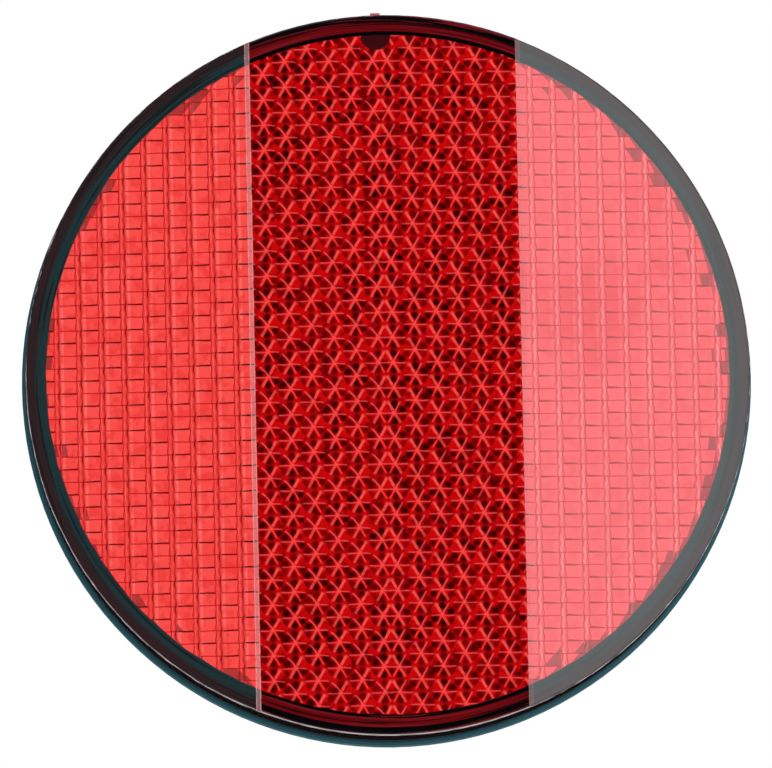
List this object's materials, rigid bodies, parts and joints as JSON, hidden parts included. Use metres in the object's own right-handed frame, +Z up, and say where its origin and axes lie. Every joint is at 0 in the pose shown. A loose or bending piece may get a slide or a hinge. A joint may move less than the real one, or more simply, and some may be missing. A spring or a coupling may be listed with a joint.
{
  "type": "bicycle rear reflector",
  "caption": "Round red bicycle rear reflector: welded prism lens and back shell held by one bolt with washers and a nut.",
  "frame": {"origin": "centre of the seat face of the rear boss, where the reflector is clamped to its bracket", "axes": "+Y along the bolt, away from the lens, which looks along -Y; +Z up"},
  "size_m": [0.07, 0.0264, 0.07],
  "materials": {
    "lens_acrylic": "clear red moulded acrylic",
    "housing_abs": "black moulded ABS",
    "zinc_steel": "bright zinc plated steel"
  },
  "bodies": {
    "root": {"lens": "lens_acrylic", "housing": "housing_abs", "bolt": "zinc_steel", "plain_washer": "zinc_steel", "spring_washer": "zinc_steel", "nut": "zinc_steel"}
  },
  "joints": []
}
